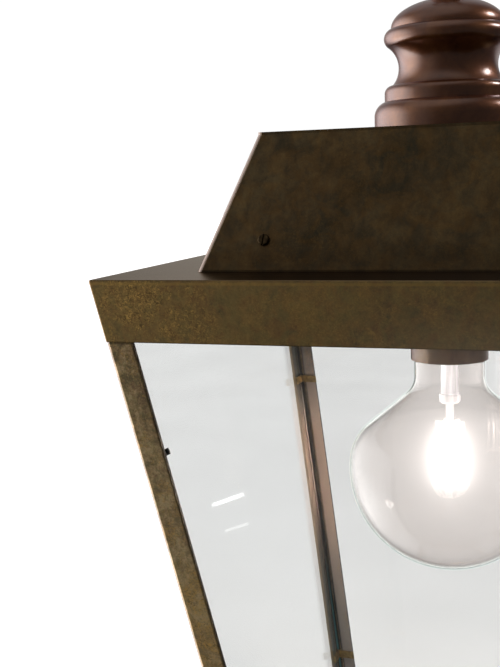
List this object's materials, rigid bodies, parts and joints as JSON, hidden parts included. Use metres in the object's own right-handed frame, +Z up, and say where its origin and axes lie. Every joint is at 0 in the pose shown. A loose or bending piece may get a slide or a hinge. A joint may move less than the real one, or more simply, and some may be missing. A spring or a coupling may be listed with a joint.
{
  "type": "pendant light",
  "caption": "Square tapered brass lantern with clear glass sides, a hipped roof, a turned finial with a hanging ring, and a clear globe lamp inside.",
  "frame": {"origin": "middle of the base, on the plane the lantern stands on when it is taken down", "axes": "+Z up along the lantern's centre line towards the hanging ring, -Y out of the front pane, +X to the right seen from the front"},
  "size_m": [0.3208, 0.3208, 0.6262],
  "materials": {
    "aged_brass": "aged, mottled brown and olive patina",
    "dark_brass": "dark patina",
    "plain_brass": "plain, unpolished",
    "bronzed_copper": "satin bronzed copper",
    "holder_brass": "satin",
    "zinc_steel": "zinc plated",
    "black_plastic": "matt",
    "white_ceramic": "glazed ceramic",
    "clear_glass": "clear float glass",
    "lamp_glass": "clear blown glass",
    "lamp_cap_metal": "nickel plated",
    "lamp_insulator_glass": "dark glass insulator",
    "solder": "solder",
    "support_wire": "nickel wire",
    "filament_light": "glowing filament rods"
  },
  "bodies": {
    "lantern": {"rim_tray": "aged_brass", "base_frame": "aged_brass", "corner_post_front_left": "aged_brass", "corner_post_front_right": "aged_brass", "corner_post_back_right": "aged_brass", "corner_post_back_left": "aged_brass", "side_pane_front": "clear_glass", "side_pane_right": "clear_glass", "side_pane_back": "clear_glass", "side_pane_left": "clear_glass", "glass_clips": "dark_brass", "roof_shell": "aged_brass", "roof_top_plate": "aged_brass", "roof_collar": "aged_brass", "roof_screws": "dark_brass", "roof_nuts": "plain_brass", "finial": "bronzed_copper", "hanging_eye": "bronzed_copper", "cable_bush": "black_plastic", "threaded_tube": "zinc_steel", "roof_washer": "zinc_steel", "earth_tag": "plain_brass", "roof_locknut": "zinc_steel", "holder_nuts": "zinc_steel", "holder_cup": "holder_brass", "holder_socket": "white_ceramic", "holder_sleeve": "plain_brass", "centre_contact": "plain_brass"},
    "ring": {"hanging_ring": "dark_brass"},
    "lamp": {"lamp_cap": "lamp_cap_metal", "lamp_insulator": "lamp_insulator_glass", "lamp_tip": "solder", "lamp_globe": "lamp_glass", "lamp_mount": "lamp_glass", "filament_frame": "support_wire", "filaments": "filament_light"}
  },
  "joints": [
    {"name": "ring_swing", "type": "hinge", "parent": "lantern", "child": "ring", "pos_m": [0, 0, 0.58942], "axis": [1, 0, 0], "range_deg": [-135, 135]},
    {"name": "lamp_unscrew", "type": "hinge", "parent": "lantern", "child": "lamp", "pos_m": [0, 0, 0.365], "axis": [0, 0, -1], "range_deg": [0, 1080]}
  ]
}
